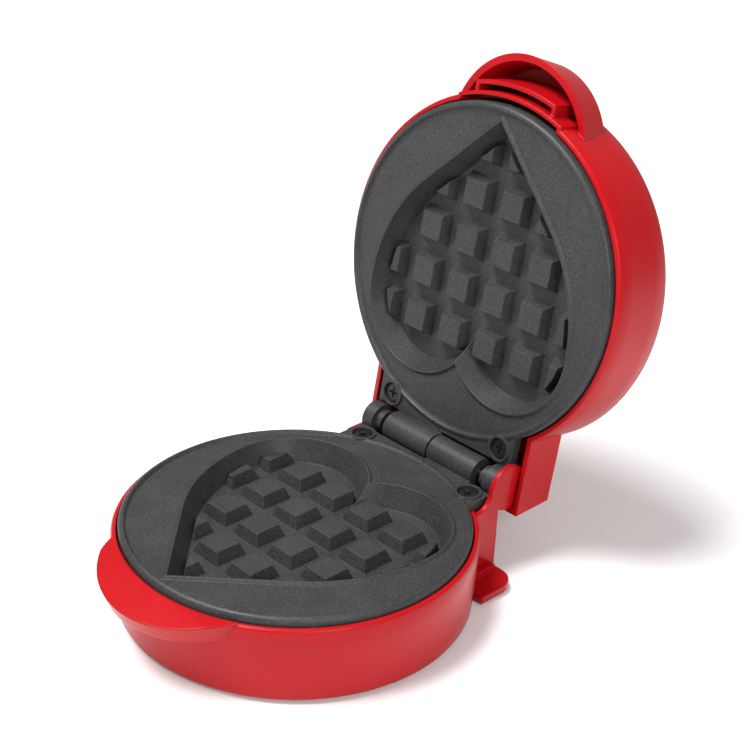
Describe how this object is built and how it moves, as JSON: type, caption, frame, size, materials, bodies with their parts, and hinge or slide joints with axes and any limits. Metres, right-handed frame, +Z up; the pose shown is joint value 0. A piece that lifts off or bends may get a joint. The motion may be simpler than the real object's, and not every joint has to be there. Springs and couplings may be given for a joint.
{
  "type": "waffle maker",
  "caption": "Small round waffle maker standing open: red plastic base and hinged lid, dark non-stick plates with heart-shaped pockets, front grip lip and arched lid handle.",
  "frame": {"origin": "On the surface the feet stand on, under the centre of the open object's bounding box", "axes": "+X is the right side seen from the front, +Y runs from the front lip to the hinge, +Z is up"},
  "size_m": [0.1252, 0.1928, 0.173],
  "materials": {
    "red_plastic": "moulded gloss",
    "nonstick": "speckled non-stick coating on die-cast aluminium",
    "black_screws": "black oxide",
    "heater_sheath": "heat-dulled tube",
    "zinc_steel": "bright zinc plate",
    "tin_sheet": "aluminised sheet",
    "ceramic": "unglazed ceramic",
    "fuse_can": "drawn can",
    "glass_sleeve": "woven glass-fibre sleeve",
    "white_plastic": "moulded",
    "terminal_brass": "plated",
    "black_rubber": "moulded",
    "lead_sleeve": "silicone and glass-fibre insulation",
    "pin_steel": "ground steel",
    "lens": "clear amber moulding",
    "lamp_board": "circuit board"
  },
  "bodies": {
    "base": {"base_housing": "red_plastic", "base_plate": "nonstick", "base_plate_screws": "black_screws", "base_heater": "heater_sheath", "base_heater_clips": "zinc_steel", "base_clip_screws": "zinc_steel", "base_reflector": "tin_sheet", "base_reflector_screws": "zinc_steel", "thermostat": "ceramic", "thermostat_bracket": "zinc_steel", "bracket_screws": "zinc_steel", "thermal_fuse": "fuse_can", "fuse_sleeve": "glass_sleeve", "terminal_block": "white_plastic", "terminal_screws": "terminal_brass", "cord_gland": "black_rubber", "base_leads": "lead_sleeve", "rubber_feet": "black_rubber", "hinge_pin": "pin_steel"},
    "lid": {"lid_housing": "red_plastic", "lid_plate": "nonstick", "lid_plate_screws": "black_screws", "lid_heater": "heater_sheath", "lid_heater_clips": "zinc_steel", "lid_clip_screws": "zinc_steel", "lid_reflector": "tin_sheet", "lid_reflector_screws": "zinc_steel", "indicator_lens": "lens", "indicator_lamp": "lamp_board", "lamp_board_screws": "zinc_steel", "lid_leads": "lead_sleeve"}
  },
  "joints": [
    {"name": "lid_hinge", "type": "hinge", "parent": "base", "child": "lid", "pos_m": [0, 0.0445, 0.0326], "axis": [1, 0, 0], "range_deg": [0, 99.7]}
  ]
}
